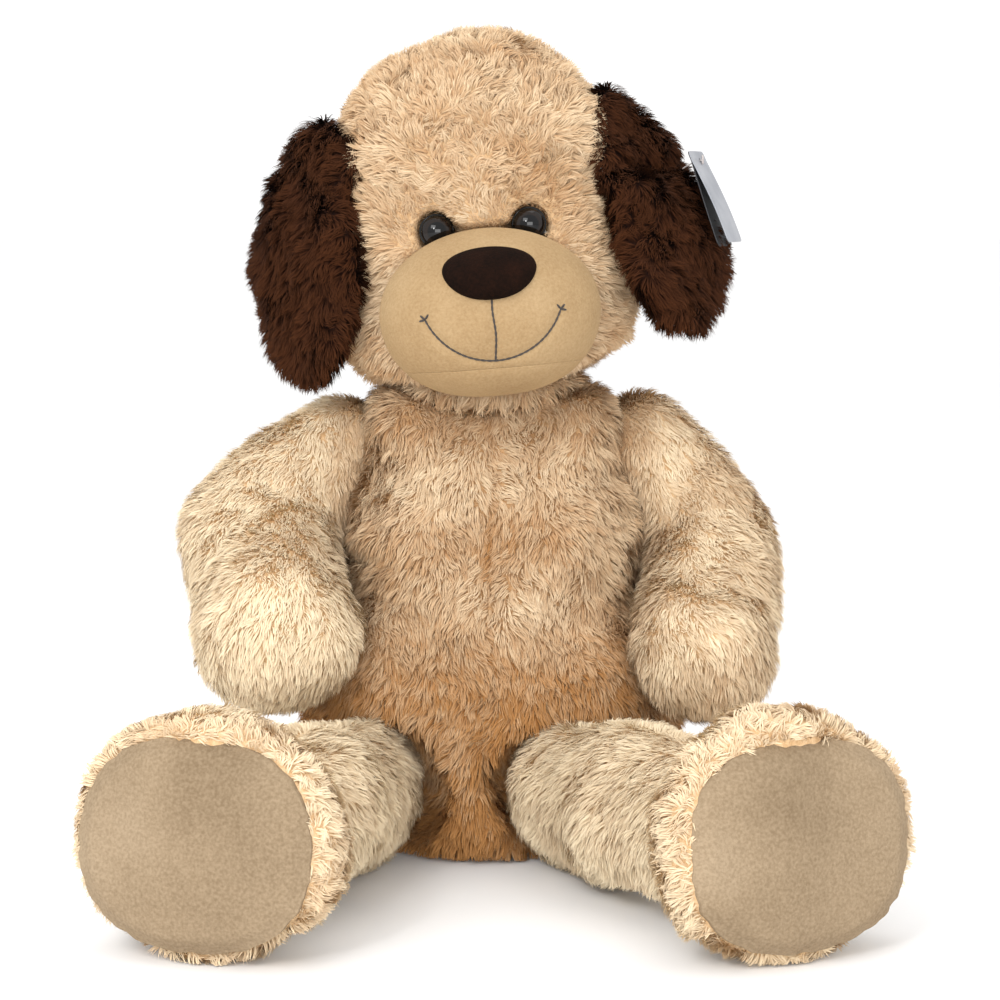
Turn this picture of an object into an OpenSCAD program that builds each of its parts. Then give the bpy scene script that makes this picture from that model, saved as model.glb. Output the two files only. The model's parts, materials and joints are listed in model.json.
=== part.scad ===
// Large sitting plush dog: stuffed fabric skins, sewn limbs, floppy ears and a hang tag.
// Millimetres. The dog faces -Y and sits on z = 0; +X is the dog's own left.
// The origin is the centre of the flat patch that the torso sits on.

/* [Torso] */
// Height of the torso from the seat to the neck seam
torso_h = 318; // [300:1:324]
// Half width of the torso at the belly
belly_r = 112; // [104:1:113]
// Height of the widest part of the belly
belly_z = 95; // [85:1:105]
// Half width of the torso at the neck seam
neck_r = 60; // [54:1:62]
// Radius of the flat patch that the torso sits on
seat_r = 70; // [60:1:76]
// Depth of the torso as a share of its width
torso_flat = 0.88; // [0.84:0.01:0.9]

/* [Head] */
// Height of the head from chin to crown
head_h = 234; // [222:1:242]
// Half width of the head at the cheeks
cheek_r = 103; // [98:1:104]
// Height of the cheeks above the underside of the head
cheek_z = 54; // [48:1:60]
// Depth of the head as a share of its width
head_flat = 0.88; // [0.84:0.01:0.92]
// Sideways lean of the head at rest
head_roll = -4.5; // [-5:0.5:2]
// Turn of the head at rest
head_yaw = 2.5; // [-2:0.5:4]

/* [Muzzle and eyes] */
// Half width of the muzzle
muzzle_w = 74; // [68:1:75]
// Half height and half depth of the muzzle
muzzle_r = 56; // [52:1:57]
// Radius of an eye
eye_r = 12; // [10:0.5:13]
// Distance of each eye from the middle of the face
eye_x = 31; // [27:1:33]

/* [Limbs] */
// Radius of the sewn end of an arm
shoulder_r = 36; // [32:1:37]
// Radius of the sewn end of a leg
hip_r = 45; // [42:1:46]
// Radius of a foot, across its sole
foot_r = 74; // [68:1:75]

/* [Fabric] */
// Thickness of the pile fabric with its backing
skin_t = 3; // [2:0.5:4]
// Clearance between a skin and the filling inside it
fill_gap = 0.4; // [0.3:0.1:1]
// Clearance of a sewn limb in its hollow
limb_gap = 0.6; // [0.5:0.1:1]

/* [Hidden] */
$fn = 64;
BIG = 900;               // size of a cutting block

BEIGE = "burlywood";
CREAM = "moccasin";
BROWN = "saddlebrown";
SOLE = "tan";
WADDING = "whitesmoke";

// --- places ---------------------------------------------------------------------------------
NECK = [0, 0, torso_h + 4];      // centre of every head movement
HEAD_LIFT = 10;                  // underside of the head above that centre
MUZZLE = [0, -97, 57];           // centre of the muzzle, from the neck centre
NOSE = [0, -147, 84];            // centre of the nose
EYE_Y = -77;                     // depth of the eyes
EYE_Z = 113;                     // height of the eyes
BALL_R = 30;                     // neck filling

// Arms: sewn end, elbow and hand, with the radius at each
ARM_LEFT = [[107, 8, 280], [157, 0, 215], [145, -87, 150]];
ARM_LEFT_R = [shoulder_r, 43, 49];
ARM_RIGHT = [[-106, 8, 281], [-163, -8, 225], [-146, -96, 166]];
ARM_RIGHT_R = [shoulder_r, 50, 55];

// Legs: middle of the sewn end, turn outward, and how far along the leg each shape is
HIP_LEFT = [50, -88, 52];
HIP_RIGHT = [-76, -72, 52];
LEG_TURN_LEFT = 27;
LEG_TURN_RIGHT = 19.5;
THIGH = [70, 50];                // distance from the sewn end, radius
ANKLE = [200, 47];
SOLE_AT = 302;                   // distance of the sole plane
SOLE_RIM = 23;                   // where the foot's round side ends at the sole, in degrees
FOOT_AT = 276;                   // distance of the widest part of the foot
FOOT_DEPTH = 50;                 // half depth of the foot

// Ears: middle of the flap from the neck centre, half sizes, turn and lean
EAR_LEFT = [127, -30, 118];
EAR_RIGHT = [-121, -30, 106];
EAR_HALF = [17, 47, 91];
EAR_TURN = 39;                   // the front edge of each ear turns in
EAR_LEAN_LEFT = 15;              // the lower end stands out
EAR_LEAN_RIGHT = 4;

// Tail, label and tag
TAIL = [0, 102, 58];             // middle of the tail's sewn end
TAIL_AIM = [0, 0.9, 0.44];       // way that the tail points
TAIL_R = [18, 13];               // radius at the sewn end and at the tip
TAIL_L = 52;                     // distance between those two
TAG_SIZE = [38, 66, 0.6];        // width, length, thickness of one leaf

// --- small tools ----------------------------------------------------------------------------
// Turns +Z onto the direction v
module aim(v) {
    rotate([0, acos(v[2] / norm(v)), atan2(v[1], v[0])]) children();
}

// The half space on the far side of point p, in direction v
module half_space(p, v) {
    translate(p) aim(v) translate([-BIG / 2, -BIG / 2, 0]) cube(BIG);
}

// Everything above base in one direction of the axes sx, sy (each +1 or -1) from the z axis
module quadrant(sx, sy, base = -BIG / 2) {
    translate([sx > 0 ? 0 : -BIG, sy > 0 ? 0 : -BIG, base]) cube(BIG);
}

// Outline of an egg: widens from base_r to wide_r at height wide, then narrows to top_r at height top
function egg(base_r, wide_r, top_r, wide, top, power, root, t) =
    let (low = 10, high = 16, squeeze = (top - 2 * t) / top)
    concat(
        [[0, t]],
        [for (i = [0:low]) let (v = 1 - i / low, z = wide * (1 - v))
            [base_r + (wide_r - base_r) * pow(1 - pow(v, 3), 0.5) - t, t + z * squeeze]],
        [for (i = [1:high]) let (u = sin(90 * i / high), z = wide + (top - wide) * u)
            [max(0, top_r + (wide_r - top_r) * pow(1 - pow(u, power), root) - t), t + z * squeeze]],
        top_r > 0 ? [[0, top - t]] : []
    );

// Bent limb: balls joined one to the next, t inside the outer surface
module limb(points, radii, t) {
    for (i = [0:len(points) - 2]) hull() {
        translate(points[i]) sphere(radii[i] - t, $fn = 24);
        translate(points[i + 1]) sphere(radii[i + 1] - t, $fn = 24);
    }
}

// Outline of a quarter ball of radius r round the start of a lathe-turned form
function round_start(r) = [for (a = [0:7.5:90]) [r * sin(a), -r * cos(a)]];

module ellipsoid(half) {
    scale(half / half[2]) sphere(half[2]);
}

function grow(half, t) = [half[0] + t, half[1] + t, half[2] + t];

// --- torso ----------------------------------------------------------------------------------
SEAT_CUT = 0.5;                  // the base of the torso's egg is this far below the seat, and cut off there
module torso_form(t) {
    translate([0, 0, -SEAT_CUT]) scale([1, torso_flat, 1])
        rotate_extrude() polygon(egg(seat_r, belly_r, neck_r, belly_z, torso_h, 1.8, 1, t));
}

// The hollows that the neck, arms, legs and tail are sewn into, each with its pole on the limb's way in
module torso_hollows() {
    translate(NECK) sphere(BALL_R + limb_gap);
    for (side = [1, -1]) {
        translate(arm_points(side)[0]) rotate([0, 90, 0]) sphere(shoulder_r + SEAM_ROOM);
        translate(hip(side)) rotate([90, 0, 0]) sphere(hip_r + SEAM_ROOM);
    }
    translate(TAIL) sphere(TAIL_R[0] + 2);
}

module torso_panel(sx, sy) {
    color(BEIGE) difference() {
        intersection() {
            difference() {
                torso_form(0);
                torso_form(skin_t);
            }
            quadrant(sx, sy, 0);
        }
        torso_hollows();
    }
}
module torso_front_left() { torso_panel(1, -1); }
module torso_front_right() { torso_panel(-1, -1); }
module torso_back_left() { torso_panel(1, 1); }
module torso_back_right() { torso_panel(-1, 1); }
module torso_stuffing() {
    color(WADDING) difference() {
        torso_form(skin_t + fill_gap);
        torso_hollows();
    }
}

// --- sewn seams of the limbs ----------------------------------------------------------------
// Way out of the torso at each limb, square to the torso's surface
function arm_axis(side) = [side * 0.97, -0.05, 0.24];
function leg_axis(side) = [side * 0.3, -0.95, 0];
SEAM_SHARE = 0.97;               // depth of a seam ring on its ball, as a share of the ball
SEAM_WIRE = 2;                   // radius of the rolled seam
SEAM_ROOM = 2 * SEAM_WIRE + 2 * limb_gap;    // room for the seam round a limb's ball

// Ring of rolled seam behind the ball of a limb
module seam_ring(centre, axis, r) {
    ring_r = sqrt(pow(r + limb_gap + SEAM_WIRE, 2) - pow(r * SEAM_SHARE, 2));
    translate(centre) aim(axis) translate([0, 0, -r * SEAM_SHARE])
        rotate_extrude() translate([ring_r, 0]) circle(SEAM_WIRE, $fn = 24);
}

// --- neck and head --------------------------------------------------------------------------
module neck_seam() {
    color(BEIGE) translate(NECK - [0, 0, 1])
        rotate_extrude() translate([BALL_R + 8, 0]) circle(2.4, $fn = 24);
}
module neck_stuffing() {
    color(WADDING) translate(NECK) sphere(BALL_R);
}

// Places its children in the head's own frame, at the neck centre
module on_head() {
    translate(NECK) rotate([0, head_roll, head_yaw]) children();
}
module head_form(t) {
    translate([0, 0, HEAD_LIFT]) scale([1, head_flat, 1])
        rotate_extrude() polygon(egg(40, cheek_r, 0, cheek_z, head_h, 3.6, 0.5, t));
}
module muzzle_form(t) {
    translate(MUZZLE) rotate([0, 90, 0]) rotate_extrude()
        polygon([for (a = [-90:7.5:90]) [(muzzle_r - t) * max(0, cos(a)), (muzzle_w - t) * sin(a)]]);
}
module eye_holes() {
    for (side = [1, -1]) translate([side * eye_x, EYE_Y, EYE_Z]) {
        sphere(eye_r + fill_gap);
        rotate([-90, 0, 0]) cylinder(h = 24, r = 3);
    }
}
module head_panel() {
    color(BEIGE) on_head() difference() {
        intersection() {
            difference() {
                head_form(0);
                head_form(skin_t);
            }
            children();
        }
        muzzle_form(-fill_gap);
        eye_holes();
        sphere(BALL_R + limb_gap);
    }
}
module head_face() { head_panel() translate([-BIG / 2, -BIG, -BIG / 2]) cube(BIG); }
module head_back_left() { head_panel() quadrant(1, 1); }
module head_back_right() { head_panel() quadrant(-1, 1); }
module head_stuffing() {
    color(WADDING) on_head() difference() {
        head_form(skin_t + fill_gap);
        muzzle_form(-fill_gap);
        for (side = [1, -1]) translate([side * eye_x, WASHER_Y - BIG, EYE_Z])
            rotate([-90, 0, 0]) cylinder(h = BIG + 6, r = 13);
        sphere(BALL_R + limb_gap);
    }
}

// --- muzzle, nose and mouth -----------------------------------------------------------------
CHIN_SEAM_Z = -36;               // seam under the mouth, from the muzzle's middle
MUZZLE_BACK = 28;                // the muzzle fabric reaches this far behind its middle
module muzzle_panel(above) {
    color(CREAM) on_head() intersection() {
        difference() {
            muzzle_form(0);
            muzzle_form(skin_t);
            if (above) eye_holes();
        }
        translate(MUZZLE + [-BIG / 2, MUZZLE_BACK - BIG, above ? CHIN_SEAM_Z : CHIN_SEAM_Z - BIG]) cube(BIG);
    }
}
module muzzle_top() { muzzle_panel(true); }
module muzzle_chin() { muzzle_panel(false); }
module muzzle_stuffing() {
    color(WADDING) on_head() difference() {
        muzzle_form(skin_t + fill_gap);
        eye_holes();
    }
}
NOSE_W = 31;                     // half width of the nose
NOSE_R = 17;                     // half height and half depth of the nose
module nose() {
    color([0.2, 0.1, 0.07]) on_head() difference() {
        translate(NOSE) rotate([0, 90, 0]) rotate_extrude()
            polygon([for (a = [-90:10:90]) [NOSE_R * max(0, cos(a)), NOSE_W * sin(a)]]);
        muzzle_form(-0.2);
    }
}

SMILE_R = 48;                    // radius of the smile
SMILE_SPAN = 68;                 // half of its angle
SMILE_Z = 75;                    // height of its centre, from the neck centre
SMILE_STITCHES = 18;
THREAD_R = 0.9;                  // half the width of the embroidery
// A point of the muzzle's front, just proud of the fabric, from its place across and up
function on_muzzle(x, z) =
    [x, MUZZLE[1] - (muzzle_r + 1.2) * sqrt(1 - pow(x / (muzzle_w + 1.2), 2)
        - pow((z - MUZZLE[2]) / (muzzle_r + 1.2), 2)), z];
function smile(a) = [SMILE_R * sin(a), SMILE_Z - SMILE_R * cos(a)];
// One stitch, a little short of the two points that it joins
module stitch(p, q) {
    a = on_muzzle(p[0], p[1]);
    b = on_muzzle(q[0], q[1]);
    translate(a + 0.05 * (b - a)) aim(b - a) cylinder(h = 0.9 * norm(b - a), r = THREAD_R);
}
module mouth_stitching() {
    step = 2 * SMILE_SPAN / SMILE_STITCHES;
    corner = smile(SMILE_SPAN);
    color([0.15, 0.13, 0.12]) on_head() {
        for (i = [0:SMILE_STITCHES - 1])
            stitch(smile(-SMILE_SPAN + i * step), smile(-SMILE_SPAN + (i + 1) * step));
        for (z = [30.5:6:60.5]) stitch([0, z], [0, z + 6]);
        for (side = [1, -1], tick = [[1.5, 1.5, 5, 5], [-1.5, 2, -4, 6.5], [3, -1.5, 7, -2]])
            stitch([side * (corner[0] + tick[0]), corner[1] + tick[1]],
                [side * (corner[0] + tick[2]), corner[1] + tick[3]]);
    }
}

// --- eyes -----------------------------------------------------------------------------------
WASHER_Y = -58;                  // the washers clamp the face fabric from inside
module eye(side) {
    color("black") on_head() translate([side * eye_x, EYE_Y, EYE_Z]) {
        difference() {
            sphere(eye_r);
            translate([-BIG / 2, 4, -BIG / 2]) cube(BIG);
        }
        translate([0, 3, 0]) rotate([-90, 0, 0]) cylinder(h = 20, r = 2.6);
    }
}
module eye_left() { eye(1); }
module eye_right() { eye(-1); }
module eye_washers() {
    color("white") on_head() for (side = [1, -1])
        translate([side * eye_x, WASHER_Y, EYE_Z]) rotate([-90, 0, 0]) difference() {
            cylinder(h = 2, r = 10);
            translate([0, 0, -1]) cylinder(h = 4, r = 2.7);
        }
}

// --- ears -----------------------------------------------------------------------------------
module on_ear(side) {
    on_head() translate(side > 0 ? EAR_LEFT : EAR_RIGHT)
        rotate([0, 0, -side * EAR_TURN]) rotate([0, -side * (side > 0 ? EAR_LEAN_LEFT : EAR_LEAN_RIGHT), 0])
            children();
}
module ear_shell(side, outer) {
    color(BROWN) on_ear(side) intersection() {
        difference() {
            ellipsoid(EAR_HALF);
            ellipsoid(grow(EAR_HALF, -skin_t));
        }
        translate([outer ? 0 : -BIG, -BIG / 2, -BIG / 2] - (side > 0 ? [0, 0, 0] : [outer ? BIG : -BIG, 0, 0]))
            cube(BIG);
    }
}
module ear_padding(side) {
    color(WADDING) on_ear(side) ellipsoid(grow(EAR_HALF, -skin_t - fill_gap));
}
module ear_outer_left() {
    difference() {
        ear_shell(1, true);
        fastener_bar(FASTENER_R + 0.2);
    }
}
module ear_lining_left() { ear_shell(1, false); }
module ear_padding_left() { ear_padding(1); }
module ear_outer_right() { ear_shell(-1, true); }
module ear_lining_right() { ear_shell(-1, false); }
module ear_padding_right() { ear_padding(-1); }

// --- arms -----------------------------------------------------------------------------------
function arm_points(side) = side > 0 ? ARM_LEFT : ARM_RIGHT;
function arm_radii(side) = side > 0 ? ARM_LEFT_R : ARM_RIGHT_R;
module arm_panel(side, front) {
    p = arm_points(side);
    bend = cross(p[1] - p[0], p[2] - p[0]);
    facing = (bend[1] < 0) == front ? bend : -bend;
    color(BEIGE) intersection() {
        difference() {
            limb(p, arm_radii(side), 0);
            limb(p, arm_radii(side), skin_t);
        }
        half_space(p[0], facing);
    }
}
module arm_stuffing(side) {
    color(WADDING) limb(arm_points(side), arm_radii(side), skin_t + fill_gap);
}
module arm_seam(side) {
    color(BEIGE) seam_ring(arm_points(side)[0], arm_axis(side), shoulder_r);
}
module arm_seam_left() { arm_seam(1); }
module arm_front_left() { arm_panel(1, true); }
module arm_back_left() { arm_panel(1, false); }
module arm_stuffing_left() { arm_stuffing(1); }
module arm_seam_right() { arm_seam(-1); }
module arm_front_right() { arm_panel(-1, true); }
module arm_back_right() { arm_panel(-1, false); }
module arm_stuffing_right() { arm_stuffing(-1); }

// --- legs and feet --------------------------------------------------------------------------
function hip(side) = side > 0 ? HIP_LEFT : HIP_RIGHT;
function leg_turn(side) = side > 0 ? LEG_TURN_LEFT : LEG_TURN_RIGHT;
// Outline of a leg and foot, t inside the outer surface, up to distance end
function leg_outline(t, end) = concat(
    round_start(hip_r - t),
    [[THIGH[1] - t, THIGH[0]], [ANKLE[1] - t, ANKLE[0]]],
    [for (a = [SOLE_RIM - 72:8:SOLE_RIM]) [foot_r * cos(a) - t, FOOT_AT + FOOT_DEPTH * sin(a)]],
    [[foot_r * cos(SOLE_RIM) - t, end], [0, end]]
);
// Places its children at the sewn end of a leg, with +Z along the leg and -X up
module on_leg(side) {
    rise = foot_r + 0.5 - hip(side)[2];
    turn = leg_turn(side);
    translate(hip(side)) aim([side * FOOT_AT * sin(turn), -FOOT_AT * cos(turn), rise]) children();
}
module leg_panel(side, upper) {
    color(BEIGE) on_leg(side) intersection() {
        difference() {
            rotate_extrude() polygon(leg_outline(0, SOLE_AT));
            rotate_extrude() polygon(leg_outline(skin_t, SOLE_AT + 1));
        }
        translate([upper ? -BIG : 0, -BIG / 2, -BIG / 2]) cube(BIG);
    }
}
module leg_stuffing(side) {
    color(WADDING) on_leg(side)
        rotate_extrude() polygon(leg_outline(skin_t + fill_gap, SOLE_AT - skin_t - fill_gap));
}
module sole(side) {
    color(SOLE) on_leg(side) translate([0, 0, SOLE_AT - skin_t])
        cylinder(h = skin_t, r = foot_r * cos(SOLE_RIM) - skin_t);
}
module leg_seam(side) {
    color(BEIGE) seam_ring(hip(side), leg_axis(side), hip_r);
}
module leg_seam_left() { leg_seam(1); }
module leg_top_left() { leg_panel(1, true); }
module leg_bottom_left() { leg_panel(1, false); }
module leg_stuffing_left() { leg_stuffing(1); }
module sole_left() { sole(1); }
module leg_seam_right() { leg_seam(-1); }
module leg_top_right() { leg_panel(-1, true); }
module leg_bottom_right() { leg_panel(-1, false); }
module leg_stuffing_right() { leg_stuffing(-1); }
module sole_right() { sole(-1); }

// --- tail, label and tag --------------------------------------------------------------------
module tail_form(t) {
    translate(TAIL) aim(TAIL_AIM) rotate_extrude() polygon(concat(
        round_start(TAIL_R[0] - t),
        [for (a = [0:15:90]) [(TAIL_R[1] - t) * cos(a), TAIL_L + (TAIL_R[1] - t) * sin(a)]]
    ));
}
module tail_skin() {
    color(BEIGE) difference() {
        tail_form(0);
        tail_form(skin_t);
    }
}
module tail_stuffing() { color(WADDING) tail_form(skin_t + fill_gap); }
LABEL_SIZE = [28, 1.2, 46];
module care_label() {
    color("white") translate([-62, 86, 34]) rotate([0, 0, 35]) rotate([-14, 0, 0])
        translate([-LABEL_SIZE[0] / 2, 0, 0]) cube(LABEL_SIZE);
}

// Places its children where the tag hangs, on the upper outer edge of the left ear
module on_tag() {
    on_ear(1) translate(TAG_AT) rotate([0, 0, EAR_TURN - TAG_TURN]) rotate([0, -5, 0]) children();
}
TAG_AT = [26, 20, 22];           // hole of the tag, from the middle of the ear
TAG_TURN = 20;                   // the tag's outer face turns this far to the front
TAG_HOLE = 2;                    // radius of the hole in the tag
module tag_leaf_shape(x) {
    on_tag() translate([x, 0, 0]) rotate([90, 0, 90]) difference() {
        translate([-TAG_SIZE[0] / 2, 6 - TAG_SIZE[1], 0]) cube(TAG_SIZE);
        translate([0, 0, -1]) cylinder(h = 4, r = TAG_HOLE);
    }
}
module tag_cover() { color("silver") tag_leaf_shape(0); }
module tag_leaf() { color([0.1, 0.1, 0.11]) tag_leaf_shape(-TAG_SIZE[2]); }
FASTENER_R = 0.9;                // radius of the plastic bar
FASTENER_IN = 14;                // how far behind the tag it starts, inside the ear's skin
FASTENER_L = 16;
module fastener_bar(r) {
    on_tag() translate([-FASTENER_IN, 0, 0]) rotate([0, 90, 0]) cylinder(h = FASTENER_L, r = r);
}
// Plastic bar: through both leaves and pierced into the ear
module tag_fastener() { color("white") fastener_bar(FASTENER_R); }

torso_front_left();
torso_front_right();
torso_back_left();
torso_back_right();
torso_stuffing();
neck_seam();
neck_stuffing();
head_face();
head_back_left();
head_back_right();
head_stuffing();
muzzle_top();
muzzle_chin();
muzzle_stuffing();
nose();
mouth_stitching();
eye_left();
eye_right();
eye_washers();
ear_outer_left();
ear_lining_left();
ear_padding_left();
ear_outer_right();
ear_lining_right();
ear_padding_right();
arm_seam_left();
arm_front_left();
arm_back_left();
arm_stuffing_left();
arm_seam_right();
arm_front_right();
arm_back_right();
arm_stuffing_right();
leg_seam_left();
leg_top_left();
leg_bottom_left();
leg_stuffing_left();
sole_left();
leg_seam_right();
leg_top_right();
leg_bottom_right();
leg_stuffing_right();
sole_right();
tail_skin();
tail_stuffing();
tag_fastener();
tag_cover();
tag_leaf();
care_label();
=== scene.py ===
"""A large sitting plush dog: skins, pile, velour, eyes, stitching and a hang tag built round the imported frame."""

import json
import math

import bmesh
import bpy
import numpy as np
from mathutils import Matrix, Vector
from mathutils.bvhtree import BVHTree


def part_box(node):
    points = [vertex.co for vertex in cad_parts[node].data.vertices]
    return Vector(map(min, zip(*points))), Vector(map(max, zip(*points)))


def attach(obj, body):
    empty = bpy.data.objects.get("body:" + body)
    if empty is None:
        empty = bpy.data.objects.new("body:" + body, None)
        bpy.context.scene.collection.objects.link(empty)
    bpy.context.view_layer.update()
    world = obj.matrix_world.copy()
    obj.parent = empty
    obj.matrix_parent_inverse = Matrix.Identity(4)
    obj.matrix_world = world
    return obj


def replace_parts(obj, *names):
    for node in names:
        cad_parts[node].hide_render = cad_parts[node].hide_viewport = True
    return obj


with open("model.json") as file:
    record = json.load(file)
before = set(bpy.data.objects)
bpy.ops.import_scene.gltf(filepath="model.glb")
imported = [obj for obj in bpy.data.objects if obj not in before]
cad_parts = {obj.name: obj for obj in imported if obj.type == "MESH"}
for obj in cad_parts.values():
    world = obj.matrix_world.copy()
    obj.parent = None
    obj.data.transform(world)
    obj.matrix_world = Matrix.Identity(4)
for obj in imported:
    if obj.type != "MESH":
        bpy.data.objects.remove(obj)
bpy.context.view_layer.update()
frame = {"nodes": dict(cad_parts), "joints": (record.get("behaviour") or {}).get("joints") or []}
NODES = frame["nodes"]
JOINTS = {j["name"]: j for j in frame["joints"]}
SIDES = (("left", 1), ("right", -1))
FLOOR_CLEAR = 0.0012       # the pile stops this far above the floor
SKIN_CLEAR = 0.0015        # and the skins this far
UP = np.array([0.0, 0.0, 1.0])


# --- small tools ---------------------------------------------------------------------------
def unit(v):
    v = np.asarray(v, float)
    return v / np.maximum(np.linalg.norm(v, axis=-1, keepdims=True), 1e-12)


def smoothstep(x, low, high):
    t = np.clip((x - low) / (high - low), 0, 1)
    return t * t * (3 - 2 * t)


def waves(seed, wavelength, count=7):
    """A smooth random field: a function from points (n, 3) to values of about -1 to 1."""
    rng = np.random.default_rng(seed)
    k = unit(rng.normal(size=(count, 3))) * (2 * math.pi / wavelength) * rng.uniform(0.7, 1.5, (count, 1))
    phase = rng.uniform(0, 2 * math.pi, count)
    return lambda p: np.sin(p @ k.T + phase).sum(1) / math.sqrt(count * 0.7)


def vertices(mesh):
    co = np.empty(len(mesh.vertices) * 3, np.float32)
    mesh.vertices.foreach_get("co", co)
    return co.reshape(-1, 3).astype(float)


def set_vertices(mesh, co):
    mesh.vertices.foreach_set("co", np.asarray(co, np.float32).ravel())
    mesh.update()


def node_points(*names):
    return np.concatenate([vertices(NODES[n].data) for n in names])


class Local:
    """A part's own axes: origin and three unit vectors, as rows."""

    def __init__(self, origin, x, y):
        x = unit(x)
        y = unit(np.asarray(y, float) - x * np.dot(x, y))
        self.origin = np.asarray(origin, float)
        self.axes = np.array([x, y, np.cross(x, y)])

    def to(self, points):
        return (np.asarray(points, float) - self.origin) @ self.axes.T

    def back(self, points):
        return np.asarray(points, float) @ self.axes + self.origin

    def box(self, *names):
        p = self.to(node_points(*names))
        return p.min(0), p.max(0)


def new_object(name, mesh, body, material, smooth=True):
    """A piece of the object that rides on a body."""
    obj = bpy.data.objects.new(name, mesh)
    bpy.context.scene.collection.objects.link(obj)
    if smooth:
        mesh.polygons.foreach_set("use_smooth", np.ones(len(mesh.polygons), bool))
    mesh.materials.clear()
    mesh.materials.append(material)
    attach(obj, body)
    return obj


def soft_piece(name, mesh, body, slot, material, fill, *nodes):
    """A padded piece that stands for CAD nodes."""
    obj = new_object(name, mesh, body, material)
    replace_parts(obj, *nodes)
    return obj


def mesh_from(name, points, faces, outward=True):
    """A mesh whose faces all look outward."""
    mesh = bpy.data.meshes.new(name)
    mesh.from_pydata([tuple(p) for p in points], [], faces)
    if outward:
        work = bmesh.new()
        work.from_mesh(mesh)
        bmesh.ops.recalc_face_normals(work, faces=work.faces)
        work.to_mesh(mesh)
        work.free()
    mesh.update()
    return mesh


def joined(parts):
    """One set of points and faces from several (points, faces)."""
    points, faces, start = [], [], 0
    for part_points, part_faces in parts:
        points.append(part_points)
        faces += [tuple(i + start for i in face) for face in part_faces]
        start += len(part_points)
    return np.concatenate(points), faces


def value_at(value, points):
    """A setting that is either one number or a function of the points."""
    return value(points) if callable(value) else value


def grid_faces(rows, cols, closed_cols=True):
    """Quads of a grid of points, row by row; the columns may close on themselves."""
    last = cols if closed_cols else cols - 1
    return [
        (r * cols + c, r * cols + (c + 1) % cols, (r + 1) * cols + (c + 1) % cols, (r + 1) * cols + c)
        for r in range(rows - 1)
        for c in range(last)
    ]


def biggest_island(mesh):
    """Keeps the largest connected part of a mesh."""
    n = len(mesh.vertices)
    edges = np.empty(len(mesh.edges) * 2, np.int32)
    mesh.edges.foreach_get("vertices", edges)
    edges = edges.reshape(-1, 2)
    label = np.arange(n)
    while True:
        low = np.minimum(label[edges[:, 0]], label[edges[:, 1]])
        new = label.copy()
        np.minimum.at(new, edges[:, 0], low)
        np.minimum.at(new, edges[:, 1], low)
        new = new[new]
        if (new == label).all():
            break
        label = new
    keep = label == np.bincount(label, minlength=n).argmax()
    if keep.all():
        return mesh
    index = np.cumsum(keep) - 1
    co = vertices(mesh)[keep]
    faces = [tuple(index[v] for v in p.vertices) for p in mesh.polygons if keep[p.vertices[0]]]
    return mesh_from(mesh.name, co, faces)


def remeshed(name, nodes, voxel):
    """One closed even mesh round several CAD nodes."""
    parts = [NODES[n].data for n in nodes]
    points, faces, start = [], [], 0
    for mesh in parts:
        points.append(vertices(mesh))
        mesh.calc_loop_triangles()
        tri = np.empty(len(mesh.loop_triangles) * 3, np.int32)
        mesh.loop_triangles.foreach_get("vertices", tri)
        faces.append(tri.reshape(-1, 3) + start)
        start += len(mesh.vertices)
    joined = bpy.data.meshes.new(name + "_source")
    joined.from_pydata(np.concatenate(points).tolist(), [], np.concatenate(faces).tolist())
    obj = bpy.data.objects.new(name + "_source", joined)
    bpy.context.scene.collection.objects.link(obj)
    modifier = obj.modifiers.new("skin", "REMESH")
    modifier.mode = "VOXEL"
    modifier.voxel_size = voxel
    depsgraph = bpy.context.evaluated_depsgraph_get()
    mesh = bpy.data.meshes.new_from_object(obj.evaluated_get(depsgraph))
    bpy.data.objects.remove(obj)
    bpy.data.meshes.remove(joined)
    mesh.name = name
    return biggest_island(mesh)


def relax(mesh, rounds, share=0.6):
    """Evens a mesh out, as cloth pulled over its filling."""
    edges = np.empty(len(mesh.edges) * 2, np.int32)
    mesh.edges.foreach_get("vertices", edges)
    a, b = edges.reshape(-1, 2).T
    co = vertices(mesh)
    degree = np.bincount(a, minlength=len(co)) + np.bincount(b, minlength=len(co))
    for _ in range(rounds):
        total = np.zeros_like(co)
        for k in range(3):
            total[:, k] = np.bincount(a, co[b, k], len(co)) + np.bincount(b, co[a, k], len(co))
        co += share * (total / degree[:, None] - co)
    set_vertices(mesh, co)


def normals(mesh):
    out = np.empty(len(mesh.vertices) * 3, np.float32)
    mesh.vertex_normals.foreach_get("vector", out)
    return unit(out.reshape(-1, 3))


def shape(mesh, change):
    """Moves a mesh's points by change(points, normals)."""
    set_vertices(mesh, change(vertices(mesh), normals(mesh)))


# --- places taken from the frame -----------------------------------------------------------
NECK = np.array(JOINTS["neck_turn"]["pos_m"])
HEAD = Local(NECK, JOINTS["neck_nod"]["axis"], JOINTS["neck_tilt"]["axis"])
SHOULDER = {s: np.array(JOINTS[f"shoulder_swing_{s}"]["pos_m"]) for s, _ in SIDES}
HIP = {s: np.array(JOINTS[f"hip_spread_{s}"]["pos_m"]) for s, _ in SIDES}
TAIL = np.array(JOINTS["tail_swing"]["pos_m"])
MUZZLE_LOW, MUZZLE_HIGH = HEAD.box("muzzle_top", "muzzle_chin")
MUZZLE_R = (MUZZLE_HIGH[2] - MUZZLE_LOW[2]) / 2
MUZZLE_AT = np.array([0, MUZZLE_LOW[1] + MUZZLE_R, (MUZZLE_HIGH[2] + MUZZLE_LOW[2]) / 2])
MUZZLE_HALF = np.array([MUZZLE_HIGH[0], MUZZLE_R, MUZZLE_R])
EYES = {s: np.mean(HEAD.box(f"eye_{s}"), axis=0) for s, _ in SIDES}
EYE_R = np.ptp(HEAD.box("eye_left"), axis=0)[0] / 2
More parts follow.
